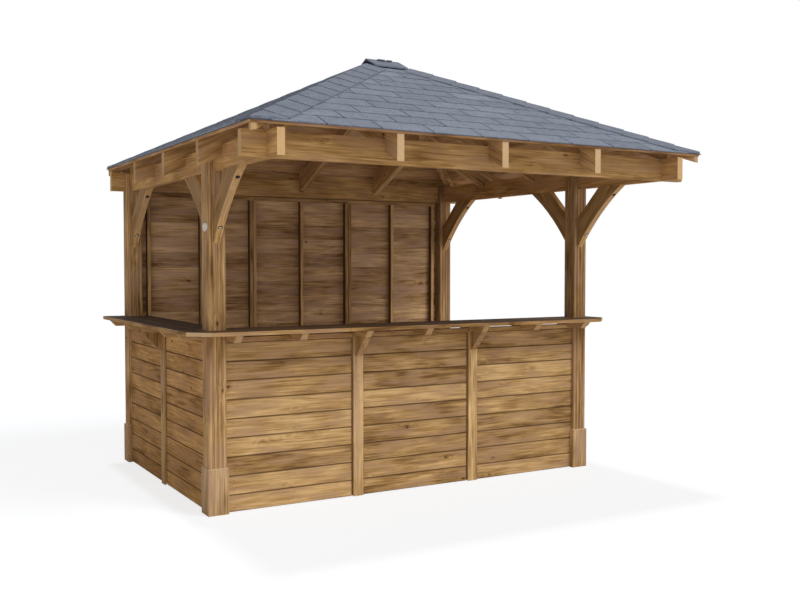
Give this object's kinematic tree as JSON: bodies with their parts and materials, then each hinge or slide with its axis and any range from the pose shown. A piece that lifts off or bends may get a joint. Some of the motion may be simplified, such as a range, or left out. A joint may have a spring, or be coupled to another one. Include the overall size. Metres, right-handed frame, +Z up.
{
  "type": "outdoor garden bar",
  "caption": "Square timber garden bar with a hipped shingle roof on braced posts, a full back wall, half-height boarded panels and a counter on two sides.",
  "frame": {"origin": "on the ground under the middle of the whole bar's extent, with the short ridge above y = 0", "axes": "+X to the right along the front counter, +Y to the back wall, +Z up"},
  "size_m": [3.265, 3.042, 3.018],
  "materials": {
    "framing": "planed, brown pressure treated",
    "wall_boards": "grooved boards, brown pressure treated",
    "roof_boards": "sawn boards, brown pressure treated",
    "counter": "planed, brown pressure treated",
    "shingles": "mineral granules, slate grey",
    "bolts": "bright zinc"
  },
  "bodies": {
    "root": {"beam_back": "framing", "beam_front": "framing", "beam_left": "framing", "beam_right": "framing", "braces_left": "framing", "braces_right": "framing", "cladding_back": "wall_boards", "cladding_front": "wall_boards", "cladding_left": "wall_boards", "counter_battens": "framing", "counter_brackets": "framing", "counter_cleats": "framing", "counter_front": "counter", "counter_left": "counter", "cover_strips": "framing", "hip_back_left": "framing", "hip_back_right": "framing", "hip_caps": "shingles", "hip_front_left": "framing", "hip_front_right": "framing", "panel_caps": "framing", "post_back_left": "framing", "post_back_right": "framing", "post_front_left": "framing", "post_front_right": "framing", "post_plinths": "framing", "rafters_back": "framing", "rafters_front": "framing", "rafters_left": "framing", "rafters_right": "framing", "rails_back": "framing", "rails_front": "framing", "rails_left": "framing", "ridge_board": "framing", "ridge_cap": "shingles", "roof_blocking": "framing", "roof_deck_back": "roof_boards", "roof_deck_front": "roof_boards", "roof_deck_left": "roof_boards", "roof_deck_right": "roof_boards", "shingles_back": "shingles", "shingles_front": "shingles", "shingles_left": "shingles", "shingles_right": "shingles", "studs_back": "framing", "studs_front": "framing", "studs_left": "framing"}
  },
  "joints": []
}
